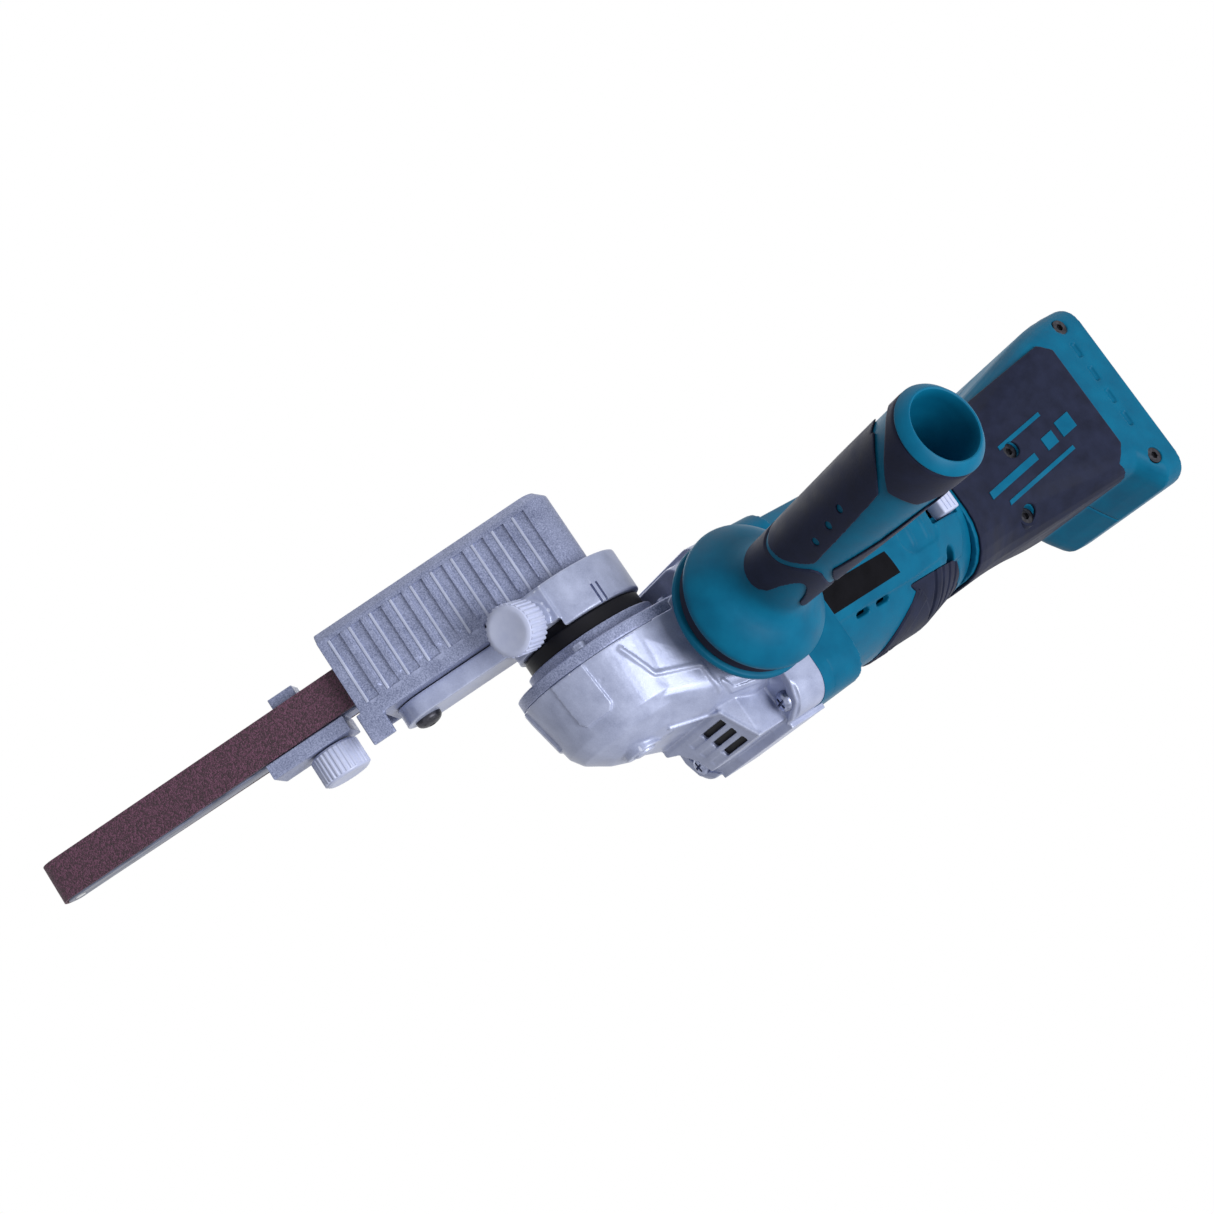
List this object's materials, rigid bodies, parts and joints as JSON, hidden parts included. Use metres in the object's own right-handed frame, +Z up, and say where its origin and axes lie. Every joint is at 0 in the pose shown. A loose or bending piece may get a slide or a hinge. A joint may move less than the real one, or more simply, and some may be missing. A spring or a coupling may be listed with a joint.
{
  "type": "power file",
  "caption": "Cordless power file: an angle-drive motor body with a side handle and a swivelling clamp-on head that runs a narrow sanding belt over a sprung arm.",
  "frame": {"origin": "centre of the flat rest pad under the gear housing flange", "axes": "+X forward along the motor axis to the file head, +Y to the side handle, +Z up along the spindle"},
  "size_m": [0.4412, 0.2804, 0.119],
  "materials": {
    "cast_aluminium": "die cast, silver lacquer",
    "black_plastic": "moulded",
    "steel": "machined",
    "spring_steel": "drawn wire",
    "gear_steel": "hardened, oiled",
    "copper": "bare",
    "teal_plastic": "moulded, fine texture",
    "label_film": "blank printed film",
    "grip_rubber": "overmoulded",
    "circuit_board": "coated",
    "grey_plastic": "moulded",
    "abrasive_cloth": "aluminium oxide grit on cloth"
  },
  "bodies": {
    "grinder": {"gear_housing": "cast_aluminium", "bearing_plate": "cast_aluminium", "neck_collar": "black_plastic", "plate_screws": "steel", "flange_screws": "steel", "spindle_bearing": "steel", "spindle_bush": "steel", "lock_spring": "spring_steel", "stator_core": "gear_steel", "stator_windings": "copper", "front_motor_bearing": "steel", "rear_motor_bearing": "steel", "motor_housing": "teal_plastic", "rating_label": "label_film", "rear_bumper": "grip_rubber", "handle_shell_left": "teal_plastic", "handle_shell_right": "teal_plastic", "grip_panel_left": "grip_rubber", "grip_panel_right": "grip_rubber", "handle_screws": "steel", "switch_module": "black_plastic", "control_board": "circuit_board", "terminal_block": "black_plastic", "terminal_blades": "copper", "side_handle_stud": "steel", "side_rear_disc": "teal_plastic", "side_damper_ring": "grip_rubber", "side_handle_core": "teal_plastic", "side_grip_sleeve": "grip_rubber"},
    "spindle": {"spindle": "steel", "crown_gear": "gear_steel", "drive_wheel_hub": "steel", "drive_wheel_tyre": "grip_rubber", "wheel_nut": "steel"},
    "rotor": {"rotor_shaft": "steel", "pinion": "gear_steel", "rotor_core": "gear_steel", "cooling_fan": "black_plastic"},
    "lock": {"lock_button": "black_plastic"},
    "switch": {"switch_slider": "grey_plastic", "switch_rod": "black_plastic"},
    "file_head": {"file_bracket": "cast_aluminium", "belt_cover": "cast_aluminium", "cover_bolt": "gear_steel", "tension_guide": "steel", "tension_spring": "spring_steel", "abrasive_belt": "abrasive_cloth"},
    "arm": {"arm_holder": "cast_aluminium", "tension_rod": "steel", "arm_bar": "steel", "idler_axle": "steel"},
    "idler": {"idler_pulley": "gear_steel"},
    "clamp": {"clamp_knob": "grey_plastic", "clamp_screw": "steel"},
    "tracking": {"tracking_knob": "grey_plastic", "tracking_screw": "steel"}
  },
  "joints": [
    {"name": "spindle_spin", "type": "hinge", "parent": "grinder", "child": "spindle", "pos_m": [0.0415, 0, 0.043], "axis": [0, 0, 1], "continuous": true},
    {"name": "rotor_spin", "type": "hinge", "parent": "grinder", "child": "rotor", "pos_m": [0.0415, 0, 0.043], "axis": [1, 0, 0], "continuous": true},
    {"name": "lock_press", "type": "slide", "parent": "grinder", "child": "lock", "axis": [0, 0, 1], "range_m": [0, 0.004], "stiffness_N_per_m": 600, "deforming": ["lock_spring"]},
    {"name": "switch_slide", "type": "slide", "parent": "grinder", "child": "switch", "axis": [1, 0, 0], "range_m": [0, 0.006]},
    {"name": "file_swivel", "type": "hinge", "parent": "grinder", "child": "file_head", "pos_m": [0.0415, 0, 0.099], "axis": [0, 0, 1], "range_deg": [-55, 75]},
    {"name": "arm_tension", "type": "slide", "parent": "file_head", "child": "arm", "axis": [-0.8348, 0.5505, 0], "range_m": [0, 0.008], "stiffness_N_per_m": 2000, "deforming": ["tension_spring"]},
    {"name": "idler_spin", "type": "hinge", "parent": "arm", "child": "idler", "pos_m": [0.20763, -0.10955, 0.099], "axis": [0, 0, 1], "continuous": true},
    {"name": "clamp_knob_turn", "type": "hinge", "parent": "file_head", "child": "clamp", "pos_m": [0.0415, 0, 0.07852], "axis": [0.8942, 0.4478, 0], "range_deg": [0, 360]},
    {"name": "tracking_knob_turn", "type": "hinge", "parent": "arm", "child": "tracking", "pos_m": [0.12206, -0.05312, 0.079], "axis": [0, 0, 1], "range_deg": [-180, 180]}
  ],
  "couplings": [
    {"joint": "rotor_spin", "follows": "spindle_spin", "ratio": 4},
    {"joint": "idler_spin", "follows": "spindle_spin", "ratio": 2.2}
  ]
}
